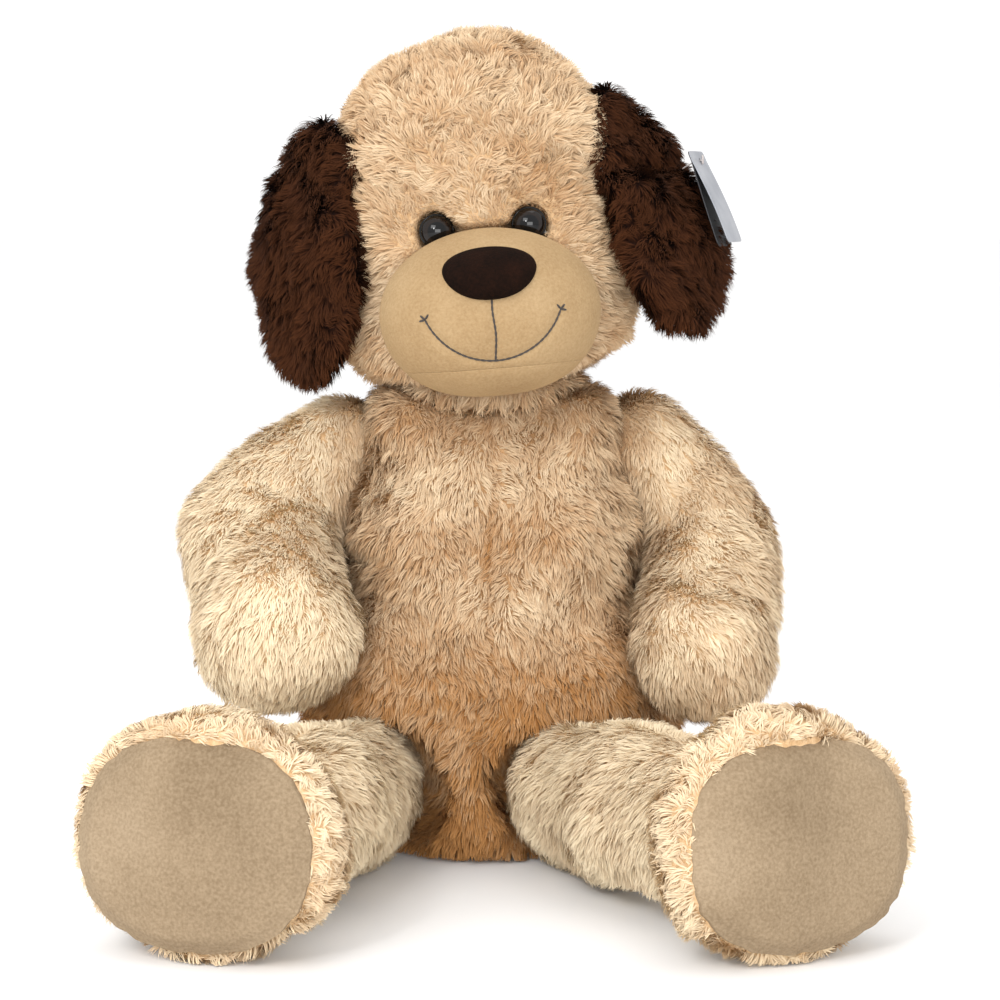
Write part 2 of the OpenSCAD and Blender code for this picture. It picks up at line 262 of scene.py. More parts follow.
EYE_FRONT = HEAD.box("eye_left")[0][1]


def ear_frame(side, sign):
    """Axes of an ear: x outward through the flap, y along its breadth, z up its length."""
    middle = np.mean(node_points(f"ear_padding_{side}"), axis=0)
    breadth = -sign * np.array(JOINTS[f"ear_lift_{side}"]["axis"])
    length = np.array(JOINTS[f"ear_lift_{side}"]["pos_m"]) - middle
    across = unit(np.cross(breadth, length))
    return Local(middle, across, breadth)


def leg_frame(side):
    """Axes of a leg: x sideways, y along it from hip to sole, z up."""
    sole = np.mean(node_points(f"sole_{side}"), axis=0)
    along = unit(sole - HIP[side])
    return Local(HIP[side], np.cross(along, UP), along)


EAR = {s: ear_frame(s, sign) for s, sign in SIDES}
LEG = {s: leg_frame(s) for s, _ in SIDES}
SOLE_LOW, SOLE_HIGH = LEG["left"].box("sole_left")
SOLE_AT = SOLE_HIGH[1]
SOLE_R = (SOLE_HIGH[0] - SOLE_LOW[0]) / 2


# --- materials -----------------------------------------------------------------------------
def srgb(r, g, b):
    """A colour from 0 to 255 as the linear values that shaders take."""
    return tuple((c / 255 / 12.92) if c / 255 <= 0.04045 else ((c / 255 + 0.055) / 1.055) ** 2.4
                 for c in (r, g, b)) + (1.0,)


class Shader:
    """A node-based material with a few short ways to add nodes."""

    def __init__(self, name, roughness=0.8, sheen=0.0, sheen_tint=(1, 1, 1, 1), coat=0.0, specular=0.5):
        self.material = bpy.data.materials.new(name)
        self.material.use_nodes = True
        self.tree = self.material.node_tree
        self.surface = self.tree.nodes["Principled BSDF"]
        self.surface.inputs["Roughness"].default_value = roughness
        self.surface.inputs["Sheen Weight"].default_value = sheen
        self.surface.inputs["Sheen Tint"].default_value = sheen_tint
        self.surface.inputs["Coat Weight"].default_value = coat
        self.surface.inputs["Specular IOR Level"].default_value = specular

    def add(self, kind, **settings):
        node = self.tree.nodes.new(kind)
        for key, value in settings.items():
            if key in node.inputs:
                node.inputs[key].default_value = value
            else:
                setattr(node, key, value)
        return node

    def link(self, a, b):
        self.tree.links.new(a, b)

    def ramp(self, source, *stops):
        node = self.add("ShaderNodeValToRGB")
        elements = node.color_ramp.elements
        while len(elements) < len(stops):
            elements.new(0.5)
        for element, (place, colour) in zip(elements, stops):
            element.position = place
            element.color = colour
        self.link(source, node.inputs["Fac"])
        return node.outputs["Color"]

    def noise(self, scale, detail=3.0, stretch=(1, 1, 1)):
        place = self.add("ShaderNodeTexCoord")
        mapping = self.add("ShaderNodeMapping")
        mapping.inputs["Scale"].default_value = stretch
        self.link(place.outputs["Object"], mapping.inputs["Vector"])
        node = self.add("ShaderNodeTexNoise", Scale=scale, Detail=detail)
        self.link(mapping.outputs["Vector"], node.inputs["Vector"])
        return node.outputs["Fac"]

    def mix(self, factor, a, b):
        node = self.add("ShaderNodeMix", data_type="RGBA")
        if isinstance(factor, float):
            node.inputs[0].default_value = factor
        else:
            self.link(factor, node.inputs[0])
        for source, place in ((a, 6), (b, 7)):
            if isinstance(source, tuple):
                node.inputs[place].default_value = source
            else:
                self.link(source, node.inputs[place])
        return node.outputs[2]

    def colour(self, source):
        self.link(source, self.surface.inputs["Base Color"])

    def bump(self, height, strength, distance):
        node = self.add("ShaderNodeBump", Strength=strength, Distance=distance)
        self.link(height, node.inputs["Height"])
        self.link(node.outputs["Normal"], self.surface.inputs["Normal"])

    def rough(self, source, low, high):
        node = self.add("ShaderNodeMapRange")
        node.inputs["To Min"].default_value = low
        node.inputs["To Max"].default_value = high
        self.link(source, node.inputs["Value"])
        self.link(node.outputs["Result"], self.surface.inputs["Roughness"])


def pile_material(name, root, middle, tip, dark_root, dark_middle, dark_tip):
    """Pile: each blade's UV holds its tint in u and its way from root to tip in v."""
    s = Shader(name, roughness=0.9, specular=0.1)
    uv = s.add("ShaderNodeUVMap", uv_map="OFBake")
    split = s.add("ShaderNodeSeparateXYZ")
    s.link(uv.outputs["UV"], split.inputs["Vector"])
    light = s.ramp(split.outputs["Y"], (0.05, root), (0.45, middle), (0.95, tip))
    dark = s.ramp(split.outputs["Y"], (0.05, dark_root), (0.45, dark_middle), (0.95, dark_tip))
    s.colour(s.mix(split.outputs["X"], light, dark))
    return s.material


def backing_material(name, light, dark):
    """The dense undercoat and knitted backing under the pile; its darker tans are partly the pile's root colour and
    partly painted shade deep between the blades.
    """
    s = Shader(name, roughness=0.95, specular=0.1)
    s.colour(s.ramp(s.noise(260.0), (0.35, dark), (0.65, light)))
    s.bump(s.noise(900.0, 2.0), 0.6, 0.002)
    return s.material


def velour_material(name, light, middle, dark, patch_scale, sheen):
    """Short velour: soft patches where the nap lies differently, and a fine nap."""
    s = Shader(name, roughness=0.9, sheen=sheen, sheen_tint=light, specular=0.06)
    patches = s.ramp(s.noise(patch_scale, 4.0), (0.3, dark), (0.5, middle), (0.72, light))
    grain = s.ramp(s.noise(520.0, 5.0), (0.32, dark), (0.68, light))
    s.colour(s.mix(0.42, patches, grain))
    s.bump(s.noise(700.0, 4.0), 0.45, 0.0012)
    return s.material


def plain_material(name, colour, other, scale, roughness, bump=0.0, coat=0.0):
    """A solid material with slight variation in colour, roughness and surface."""
    s = Shader(name, roughness=roughness, coat=coat)
    field = s.noise(scale)
    s.colour(s.ramp(field, (0.35, colour), (0.65, other)))
    s.rough(field, roughness * 0.85, min(1.0, roughness * 1.15))
    if bump:
        s.bump(s.noise(scale * 4), bump, 0.0005)
    return s.material


def eye_material():
    """Glossy plastic: black pupil, dark iris and black rim, by the distance from the eye's axis in v."""
    s = Shader("eye_gloss", roughness=0.05, specular=0.3)
    uv = s.add("ShaderNodeUVMap", uv_map="OFBake")
    split = s.add("ShaderNodeSeparateXYZ")
    s.link(uv.outputs["UV"], split.inputs["Vector"])
    s.colour(s.ramp(split.outputs["Y"], (0.0, srgb(6, 6, 8)), (0.5, srgb(8, 8, 9)),
                    (0.56, srgb(30, 22, 18)), (0.76, srgb(22, 16, 13)), (0.82, srgb(5, 5, 5))))
    return s.material


def thread_material(name, dark, light):
    """Embroidery thread: fine plies that catch the light."""
    s = Shader(name, roughness=0.5, sheen=0.2, specular=0.4)
    field = s.noise(3000.0, 1.0)
    s.colour(s.ramp(field, (0.4, dark), (0.6, light)))
    s.bump(field, 0.4, 0.0003)
    return s.material


BEIGE = pile_material("beige_pile", srgb(226, 204, 168), srgb(232, 213, 180), srgb(236, 220, 190),
                      srgb(140, 90, 44), srgb(158, 109, 60), srgb(175, 126, 75))
BROWN = pile_material("brown_pile", srgb(40, 19, 8), srgb(56, 29, 13), srgb(75, 42, 21),
                      srgb(27, 12, 5), srgb(40, 20, 9), srgb(54, 29, 14))
# the backings' darker tans are partly the pile's root colour and partly painted shade deep in the pile
BEIGE_BACKING = backing_material("beige_backing", srgb(214, 182, 142), srgb(196, 160, 118))
TORSO_BACKING = backing_material("torso_backing", srgb(196, 158, 116), srgb(174, 134, 92))
BROWN_BACKING = backing_material("brown_backing", srgb(48, 26, 17), srgb(24, 12, 8))
CREAM = velour_material("cream_velour", srgb(168, 143, 108), srgb(154, 128, 93), srgb(138, 112, 79), 18.0, 0.5)
SOLE = velour_material("sole_velour", srgb(162, 143, 118), srgb(140, 121, 97), srgb(114, 96, 74), 9.0, 0.2)
NOSE = velour_material("nose_velour", srgb(32, 16, 9), srgb(20, 10, 6), srgb(10, 5, 3), 60.0, 0.0)
THREAD = thread_material("dark_thread", srgb(30, 24, 20), srgb(58, 48, 42))
WADDING = plain_material("wadding_fibre", srgb(236, 234, 228), srgb(214, 212, 205), 60.0, 0.95, bump=0.8)
EYE = eye_material()
WHITE_PLASTIC = plain_material("white_plastic", srgb(226, 225, 220), srgb(214, 213, 208), 40.0, 0.45, bump=0.1)
CLEAR_PLASTIC = plain_material("fastener_plastic", srgb(176, 168, 164), srgb(158, 150, 147), 80.0, 0.3, coat=0.2)
SILVER = plain_material("silver_card", srgb(150, 152, 158), srgb(126, 129, 137), 35.0, 0.4, coat=0.1)
BLACK_CARD = plain_material("black_card", srgb(24, 24, 27), srgb(34, 34, 38), 50.0, 0.55, bump=0.1)
LABEL = plain_material("label_satin", srgb(238, 238, 234), srgb(222, 222, 218), 220.0, 0.5, bump=0.4)
SEAM = thread_material("seam_tape", srgb(176, 132, 92), srgb(206, 164, 120))


# --- pile ----------------------------------------------------------------------------------
SEGMENTS = 3                                   # pieces along a blade
BLADE_STEPS = np.linspace(0, 1, SEGMENTS + 1)
BLADE_WIDTH = 1 - BLADE_STEPS ** 2.2           # share of the full width at each step
PILE_SPACING = 0.00138                         # distance between blades
PILE_LENGTH = 0.0105                           # on the torso and head
LIMB_PILE = 0.0095                             # on the legs and round the neck, which are combed flatter
MAX_BLADES = 39000                             # blades in one piece


def sample_surface(mesh, spacing, rng):
    """Points spread over a mesh, with the smooth normal at each."""
    mesh.calc_loop_triangles()
    tri = np.empty(len(mesh.loop_triangles) * 3, np.int32)
    mesh.loop_triangles.foreach_get("vertices", tri)
    tri = tri.reshape(-1, 3)
    co, nor = vertices(mesh), normals(mesh)
    a, b, c = co[tri[:, 0]], co[tri[:, 1]], co[tri[:, 2]]
    area = np.linalg.norm(np.cross(b - a, c - a), axis=1) / 2
    count = int(area.sum() / spacing ** 2)
    place = (np.arange(count) + rng.random(count)) / count * area.sum()
    pick = np.minimum(np.searchsorted(np.cumsum(area), place), len(area) - 1)
    u, v = rng.random((2, count, 1))
    flip = u + v > 1                           # folds the square of draws onto the triangle
    u, v = np.where(flip, 1 - u, u), np.where(flip, 1 - v, v)
    ta, tb, tc = tri[pick].T
    points = co[ta] * (1 - u - v) + co[tb] * u + co[tc] * v
    facing = unit(nor[ta] * (1 - u - v) + nor[tb] * u + nor[tc] * v)
    return points, facing


def hashed(cells, seed):
    """Repeatable random numbers from 0 to 1 for whole-number cells (n, 3)."""
    h = (cells[:, 0] * 73856093) ^ (cells[:, 1] * 19349663) ^ (cells[:, 2] * 83492791) ^ (seed * 2654435761)
    h = (h ^ (h >> 13)) * 1274126177
    h = (h ^ (h >> 16)) & 0xFFFFFF
    return h / float(0xFFFFFF)


def locks(points, size, seed):
    """The lock of pile that each point belongs to: its middle, and three random numbers for the lock."""
    cell = np.floor(points / size).astype(np.int64)
    best = np.full(len(points), np.inf)
    middle = np.zeros_like(points)
    chance = np.zeros((len(points), 3))
    for dx in (-1, 0, 1):
        for dy in (-1, 0, 1):
            for dz in (-1, 0, 1):
                c = cell + (dx, dy, dz)
                jitter = np.stack([hashed(c, seed + k) for k in (1, 2, 3)], 1)
                at = (c + jitter) * size
                d = ((points - at) ** 2).sum(1)
                nearer = d < best
                best = np.where(nearer, d, best)
                middle[nearer] = at[nearer]
                more = np.stack([hashed(c, seed + k) for k in (4, 5, 6)], 1)
                chance[nearer] = more[nearer]
    return middle, chance


def tangent(v, n):
    return unit(v - n * (v * n).sum(1, keepdims=True))


def turned(v, n, angle):
    """Vectors v, square to n, turned about n."""
    c, s = np.cos(angle)[:, None], np.sin(angle)[:, None]
    return v * c + np.cross(n, v) * s


def pile(name, mesh, body, material, flow, length, seed, lean=48, lock=0.0062, keep=None,
         spacing=PILE_SPACING, width=0.00092, mess=0.35, gather=0.45, tint=0.0, droop=0.12):
    """Blades of pile over a skin, as pieces that ride with it. flow gives the way they are combed."""
    rng = np.random.default_rng(seed)
    points, facing = sample_surface(mesh, spacing, rng)
    if keep is not None:
        kept = keep(points, facing)
        points, facing = points[kept], facing[kept]
    n = len(points)
    size = value_at(length, points)
    swirl = waves(seed + 1, 0.055)(points) * 0.9 + waves(seed + 2, 0.02)(points) * 0.5
    middle, chance = locks(points, lock, seed)
    combed = tangent(flow(points, facing), facing)
    combed = turned(combed, facing, value_at(mess, points) * (swirl + (chance[:, 0] - 0.5) * 2.2))
    combed = turned(combed, facing, rng.normal(0, 0.16, n))
    tilt = np.radians(lean + 10 * waves(seed + 3, 0.03)(points) + 20 * (chance[:, 1] - 0.5) + rng.normal(0, 5, n))
    tilt = np.clip(tilt, math.radians(12), math.radians(80))
    size = size * (0.84 + 0.26 * chance[:, 2]) * rng.uniform(0.82, 1.1, n)
    rise, run = np.cos(tilt) * size, np.sin(tilt) * size
    tip = points + facing * rise[:, None] + combed * run[:, None]
    # the lock's own tip, above its middle brought onto the skin near this blade
    offset = middle - points
    offset -= facing * (offset * facing).sum(1, keepdims=True)
    tip += offset * (gather * rng.uniform(0.6, 1.2, n))[:, None]
    tip -= UP * (droop * size)[:, None]
    bend = points + facing * (rise * 0.75)[:, None] + combed * (run * 0.3)[:, None] + offset * (gather * 0.25)
    across = unit(np.cross(tip - points, facing))
    across = unit(across + facing * rng.uniform(-0.4, 0.4, (n, 1)))
    half = width * rng.uniform(0.7, 1.25, n) / 2
    t = BLADE_STEPS[None, :, None]
    line = ((1 - t) ** 2) * points[:, None] + 2 * t * (1 - t) * bend[:, None] + t * t * tip[:, None]
    line[:, :, 2] = np.where(line[:, :, 2] < FLOOR_CLEAR, FLOOR_CLEAR + 0.1 * np.abs(line[:, :, 2]), line[:, :, 2])
    side = across[:, None] * (half[:, None] * BLADE_WIDTH[None, :])[:, :, None]
    shade = (chance[:, 1] * 0.24 + 0.16 * (waves(seed + 4, 0.09)(points) * 0.5 + 0.5)
             + 0.2 * rng.random(n))
    shade = np.clip(shade + value_at(tint, points), 0.02, 0.98)
    blade_normal = unit(np.cross(tip - points, across))
    blade_normal *= np.where((blade_normal * facing).sum(1, keepdims=True) < 0, -1, 1)
    lit = unit(facing * 0.45 + blade_normal * 0.55)
    pieces = max(1, math.ceil(n / MAX_BLADES))
    for i, part in enumerate(np.array_split(np.arange(n), pieces)):
        label = name if pieces == 1 else f"{name}_{i + 1}"
        blades(label, line[part], side[part], shade[part], lit[part], body, material)


def blades(name, line, side, shade, lit, body, material):
    """One mesh of blades: two edges along each blade that meet at its tip."""
    n, steps = line.shape[:2]
    per = 2 * (steps - 1) + 1
    co = np.empty((n, per, 3))
    co[:, 0:per - 1:2] = (line - side)[:, :-1]
    co[:, 1:per - 1:2] = (line + side)[:, :-1]
    co[:, per - 1] = line[:, -1]
    quads = [[2 * k, 2 * k + 1, 2 * k + 3, 2 * k + 2] for k in range(steps - 2)]
    corner = np.array([i for q in quads for i in q] + [per - 3, per - 2, per - 1])
    sizes = np.array([4] * len(quads) + [3])
    loops = (corner[None] + per * np.arange(n)[:, None]).ravel()
    totals = np.tile(sizes, n)
    starts = np.concatenate([[0], np.cumsum(totals)[:-1]])
    mesh = bpy.data.meshes.new(name)
    mesh.vertices.add(n * per)
    mesh.vertices.foreach_set("co", co.astype(np.float32).ravel())
    mesh.loops.add(len(loops))
    mesh.loops.foreach_set("vertex_index", loops.astype(np.int32))
    mesh.polygons.add(len(totals))
    mesh.polygons.foreach_set("loop_start", starts.astype(np.int32))
    mesh.update(calc_edges=True)
    along = np.repeat(BLADE_STEPS, 2)[:per]
    along[per - 1] = 1.0
    uv = np.empty((n, len(corner), 2), np.float32)
    uv[:, :, 0] = shade[:, None]
    uv[:, :, 1] = along[corner][None] * 0.96 + 0.02
    layer = mesh.uv_layers.new(name="OFBake")
    layer.uv.foreach_set("vector", uv.ravel())
    new_object(name, mesh, body, material)
    mesh.normals_split_custom_set_from_vertices(np.repeat(lit, per, axis=0).astype(np.float32))


def away_from(source, drop):
    """Pile combed away from a point and down."""
    return lambda points, facing: unit(points - source) - UP * drop


# --- soft bodies ---------------------------------------------------------------------------
VOXEL = 0.005
LUMPS = waves(11, 0.085)


def padded_skin(name, nodes, filling, body, slot, material, change=None, rounds=14, fill=0.7, voxel=VOXEL):
    """A stuffed skin: the outline of its CAD shells, evened out like cloth over filling."""
    mesh = remeshed(name, list(nodes) + [filling], voxel)
    relax(mesh, rounds)
    if change is not None:
        shape(mesh, change)
    return soft_piece(name, mesh, body, slot, material, fill, *nodes)


def wadding(node, body, skin=None, depth=0.004, voxel=0.006):
    """Loose fibre filling, lumpy, a little inside the skin round it or the CAD filling's form."""
    mesh = remeshed(node + "_fibre", [node], voxel) if skin is None else skin.data.copy()
    mesh.name = node + "_fibre"
    relax(mesh, 3)
    big, small = waves(31, 0.03), waves(32, 0.011)
    points = vertices(mesh)
    walls = BVHTree.FromPolygons(points.tolist(), [tuple(f.vertices) for f in mesh.polygons])

    def settle(p, n):
        """Inwards by the depth, but never past a third of the way through."""
        room = np.array([walls.ray_cast(Vector(a - 1e-4 * b), Vector(-b))[3] or 0.0 for a, b in zip(p, n)])
        return p - n * np.minimum(depth * (1.3 + 0.35 * big(p) + 0.2 * small(p)), room / 3)[:, None]

    shape(mesh, settle)
    soft_piece(mesh.name, mesh, body, "wadding", WADDING, 0.5, node)


def crease(distance, width):
    return np.exp(-(distance / width) ** 2)


CHEST_OUT = 0.013                              # the chest fills out between the arms
SHOULDER_OUT = 0.008                           # and meets the arms at the top
HIPS_OUT = 0.016                               # and the belly sags out to the sides


def torso_shape(p, n):
    """Sewn seams down the front, back and sides, a settled belly and a flat seat."""
    front = crease(p[:, 0], 0.006) * smoothstep(p[:, 2], 0.02, 0.07)
    sides = crease(p[:, 1], 0.006) * 0.5
    fold = smoothstep(-p[:, 0], 0.04, 0.07) * (p[:, 1] < 0)
    dent = 0.006 * crease(p[:, 2] - 0.207, 0.006) - 0.0035 * crease(p[:, 2] - 0.221, 0.008)
    p = p - n * (0.0032 * front + 0.004 * sides + fold * dent)[:, None]
    p = p + n * (0.0022 * LUMPS(p))[:, None]
    chest = smoothstep(p[:, 2], 0.17, 0.25) * smoothstep(np.abs(p[:, 0]), 0.015, 0.06)
    out = unit(p * (1, 1, 0))
    top = smoothstep(p[:, 2], 0.265, 0.30) * smoothstep(np.abs(p[:, 0]), 0.03, 0.055)
    p = p + out * (CHEST_OUT * chest + SHOULDER_OUT * top)[:, None] + UP * (0.006 * top)[:, None]
    hips = smoothstep(p[:, 2], 0.02, 0.06) * smoothstep(p[:, 2], 0.19, 0.14) * smoothstep(np.abs(p[:, 0]), 0.04, 0.08)
    p = p + out * (HIPS_OUT * hips)[:, None]
    p[:, 2] = np.maximum(p[:, 2], SKIN_CLEAR)
    return p


def torso_flow(points, facing):
    part = np.sign(points[:, 0]) * crease(points[:, 0], 0.05)
    side = np.stack([part, np.zeros_like(part), np.zeros_like(part)], 1)
    return unit(points - NECK) * 0.6 - UP * 0.7 + side * 0.15


def torso_keep(p, n):
    clear = (p[:, 2] > 0.006) | (n[:, 2] > -0.6)
    for s, _ in SIDES:
        clear &= np.linalg.norm(p - SHOULDER[s], axis=1) > 0.0395
        clear &= np.linalg.norm(p - HIP[s], axis=1) > 0.03
    clear &= np.linalg.norm(p - TAIL, axis=1) > 0.018
    clear &= np.linalg.norm((p - NECK)[:, :2], axis=1) + 2 * np.maximum(0, NECK[2] - 0.008 - p[:, 2]) > 0.036
    return clear


def build_torso():
    panels = [f"torso_{f}_{s}" for f in ("front", "back") for s, _ in SIDES]
    skin = padded_skin("torso_skin", panels, "torso_stuffing", "torso", "beige_pile", TORSO_BACKING,
                       torso_shape, rounds=10, fill=0.75)
    pile("torso_pile", skin.data, "torso", BEIGE, torso_flow,
         lambda p: PILE_LENGTH * (1 - 0.2 * crease(p[:, 0], 0.006) * (p[:, 1] < 0)), 101, keep=torso_keep,
         # tint: darker lower down the front, partly the belly fur's own deeper colour and partly painted shade where
         # the arms and legs shadow the belly
         tint=lambda p: 0.25 + 0.42 * smoothstep(p[:, 2], 0.22, 0.05) * smoothstep(p[:, 1], 0.06, -0.02)
         + 0.2 * crease(p[:, 0], 0.0035) * (p[:, 1] < 0) * smoothstep(p[:, 2], 0.12, 0.2), mess=0.45)
    wadding("torso_stuffing", "torso", skin, depth=0.008)


# --- head ----------------------------------------------------------------------------------
def in_muzzle(local, grow=1.0):
    return (((local - MUZZLE_AT) / (MUZZLE_HALF * grow)) ** 2).sum(1) < 1


def head_shape(p, n):
    q = HEAD.to(p)
    seam = crease(q[:, 0], 0.005) * smoothstep(q[:, 1], 0.0, 0.03) + crease(q[:, 1], 0.005) * 0.6
    return p - n * (0.003 * seam)[:, None] + n * (0.0018 * LUMPS(p + 0.3))[:, None]


def head_keep(p, n):
    q = HEAD.to(p)
    clear = ~in_muzzle(q, 0.955)
    for s, _ in SIDES:
        across = (q - EYES[s])[:, [0, 2]]
        clear &= (np.linalg.norm(across, axis=1) > EYE_R * 1.04) | (q[:, 1] > 0)
    return clear & ((q[:, 2] > 0.016) | (np.linalg.norm(q[:, :2], axis=1) > 0.042))


def build_head():
    middle = HEAD.back(MUZZLE_AT + (0, 0.02, 0))
    shells = ["head_face", "head_back_left", "head_back_right"]
    skin = padded_skin("head_skin", shells, "head_stuffing", "head", "beige_pile", BEIGE_BACKING,
                       head_shape, rounds=8, fill=0.8)

    def length(p):
        from_muzzle = np.linalg.norm((HEAD.to(p) - MUZZLE_AT) / MUZZLE_HALF, axis=1)
        eye = np.min([np.linalg.norm(HEAD.to(p) - EYES[s], axis=1) for s, _ in SIDES], axis=0)
        by_muzzle = 0.55 + 0.45 * smoothstep(from_muzzle, 1.0, 1.4)
        return PILE_LENGTH * by_muzzle * (0.35 + 0.65 * smoothstep(eye, 0.014, 0.03))

    pile("head_pile", skin.data, "head", BEIGE, away_from(middle, 0.3), length, 201,
         keep=head_keep, lean=46, droop=0.08, mess=lambda p: 0.45 + 0.5 * smoothstep(p[:, 2], 0.43, 0.5),
         tint=lambda p: 0.08 * smoothstep(p[:, 2], 0.4, 0.34) + 0.27)
    wadding("head_stuffing", "head", skin, depth=0.014)
    wadding("muzzle_stuffing", "head", depth=0.010)
    wadding("neck_stuffing", "neck_core")


def build_neck_seam():
    """The gathered roll of cloth between torso and head, with its short pile."""
    low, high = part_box("neck_seam")
    middle = (np.array(low) + np.array(high)) / 2
    radius = (high[0] - low[0]) / 2
    rows, cols, pleats = 16, 160, 26
    points = []
    for r in range(rows):
        around = 2 * math.pi * r / rows
        for c in range(cols):
            a = 2 * math.pi * c / cols
            fold = 0.0012 * math.sin(pleats * a) + 0.0006 * math.sin(2 * pleats * a + around)
            out = radius + 0.014 + (0.012 + fold) * math.cos(around)
            points.append(middle + (out * math.cos(a), 0.92 * out * math.sin(a), (0.0115 + fold) * math.sin(around)))
    faces = [((r + 1) % rows * cols + c, (r + 1) % rows * cols + (c + 1) % cols, r * cols + (c + 1) % cols,
              r * cols + c) for r in range(rows) for c in range(cols)]
    mesh = mesh_from("neck_roll", points, faces)
    soft_piece("neck_roll", mesh, "neck_ring", "beige_pile", BEIGE_BACKING, 0.5, "neck_seam")
    pile("neck_pile", mesh, "neck_ring", BEIGE, away_from(NECK, 0.7), LIMB_PILE, 251,
         keep=lambda p, n: np.linalg.norm((p - NECK)[:, :2], axis=1) > radius, tint=0.25)


# --- muzzle, nose and mouth ----------------------------------------------------------------
EYE_OUT = 0.003            # the eyes' domes stand this far out through the pile
CHIN_SEAM = -0.64          # height of the seam under the mouth, as a share of the muzzle's half height
BOX_POWER = 0.8            # below 1: the lower half of the muzzle is fuller
SMILE_R, SMILE_SPAN = 0.048, math.radians(68)
SMILE_LOW = HEAD.box("mouth_stitching")[0][2] + 0.0009


def eye_middle(side):
    """The middle of an eye's dome, in head axes."""
    return EYES[side] * (1, 0, 1) + (0, EYE_FRONT + EYE_R - EYE_OUT, 0)


def muzzle_point(lat, lon, draw_in=0.0):
    """A point of the muzzle in head axes; lat and lon are arrays, in radians."""
    c = np.cos(lat)
    c = np.where(lat < 0, np.maximum(c, 0) ** BOX_POWER, c)
    half = MUZZLE_HALF - draw_in
    local = np.stack([half[0] * c * np.sin(lon), -half[1] * c * np.cos(lon), half[2] * np.sin(lat)], -1)
    return local + MUZZLE_AT


def mouth_dip(x, z):
    """How far the stitches pull the velour in."""
    stem = crease(x, 0.0035) * smoothstep(z, SMILE_LOW - 0.002, SMILE_LOW + 0.004) * smoothstep(z, 0.075, 0.068)
    ring = np.hypot(x, z - SMILE_LOW - SMILE_R)
    smile = crease(ring - SMILE_R, 0.003) * smoothstep(z, SMILE_LOW + 0.036, SMILE_LOW + 0.026)
    return 0.0015 * np.maximum(stem, smile)


def muzzle_front(x, z):
    """Depth of the muzzle's front at places (x, z) in head axes."""
    s = np.clip((z - MUZZLE_AT[2]) / MUZZLE_HALF[2], -0.999, 0.999)
    c = np.sqrt(1 - s * s)
    c = np.where(s < 0, c ** BOX_POWER, c)
    turn = np.clip(x / (MUZZLE_HALF[0] * c), -0.999, 0.999)
    return MUZZLE_AT[1] - MUZZLE_HALF[1] * c * np.sqrt(1 - turn ** 2) + mouth_dip(x, z)


def muzzle_part(name, lat_from, lat_to, rows, node):
    """Velour between two latitudes, tucked in at the chin seam."""
    cols = 220
    lats = np.linspace(lat_from, lat_to, rows)
    lon = np.linspace(-math.pi, math.pi, cols, endpoint=False)
    seam = math.asin(CHIN_SEAM)
    grid = np.array([muzzle_point(np.full(cols, lat), lon) for lat in lats])
    gap = np.abs(lats - seam) * MUZZLE_HALF[2]
    tuck = 0.0007 * np.exp(-(gap / 0.003) ** 2)
    inward = unit(grid - MUZZLE_AT)
    grid = grid - inward * (tuck[:, None] * crease(grid[:, :, 0], 0.045))[:, :, None]
    grid[:, :, 1] += mouth_dip(grid[:, :, 0], grid[:, :, 2]) * (grid[:, :, 1] < MUZZLE_AT[1])
    lip = muzzle_point(np.full(cols, seam), lon, draw_in=0.006)
    grid = np.concatenate([grid, lip[None]]) if lat_to <= seam + 1e-6 else np.concatenate([lip[None], grid])
    grid = grid.reshape(-1, 3)
    for s, _ in SIDES:
        eye = eye_middle(s)
        away = np.linalg.norm(grid - eye, axis=1)
        grid = eye + (grid - eye) * (np.maximum(away, EYE_R * 1.03) / away)[:, None]
    points = HEAD.back(grid)
    faces = grid_faces(len(points) // cols, cols)
    mesh = mesh_from(name, points, faces)
    soft_piece(name, mesh, "head", "cream_velour", CREAM, 0.85, node)
    smooth = np.ones(len(mesh.polygons), bool)
    smooth[-cols:] = lat_to > seam + 1e-6
    smooth[:cols] = lat_to <= seam + 1e-6
    mesh.polygons.foreach_set("use_smooth", smooth)


def build_muzzle():
    seam, pole = math.asin(CHIN_SEAM), math.radians(89.2)
    muzzle_part("muzzle_top_velour", seam, pole, 110, "muzzle_top")
    muzzle_part("muzzle_chin_velour", -pole, seam, 44, "muzzle_chin")


def build_nose():
    """A padded velour nose: wide above, drawn to a rounded point below."""
    low, high = HEAD.box("nose")
    half = (high - low) / 2
    middle = (high + low) / 2 + (0, 0, 0.0005)
    rings, cols = 26, 120
    a = np.linspace(0, 2 * math.pi, cols, endpoint=False)
    x = half[0] * np.sign(np.cos(a)) * np.abs(np.cos(a)) ** 0.94
    rise = np.abs(np.sin(a))
    z = half[2] * np.where(np.sin(a) > 0, 0.98 * rise ** 0.98, -1.08 * rise ** 1.12)
    z = z + 0.0015 * (np.abs(np.cos(a)) ** 3)
    rows = []
    for i in range(rings + 1):
        r = math.sin(math.pi / 2 * i / rings)
        px, pz = x * r, middle[2] + z * r
        thick = 0.0115 * (1 - r ** 2.6) ** 0.5 if r < 1 else -0.002
        rows.append(np.stack([px, muzzle_front(px, pz) - thick, pz], 1))
    back = rows[-1] + (0, 0.004, 0)
    points = HEAD.back(np.concatenate(rows[1:] + [back]))
    faces = grid_faces(rings + 1, cols)
    tip = len(points)
    points = np.concatenate([points, HEAD.back(rows[0][:1])])
    faces += [(tip, c, (c + 1) % cols) for c in range(cols)]
    mesh = mesh_from("nose_velour", points, [tuple(reversed(f)) for f in faces])
    soft_piece("nose_velour", mesh, "head", "nose_velour", NOSE, 0.9, "nose")


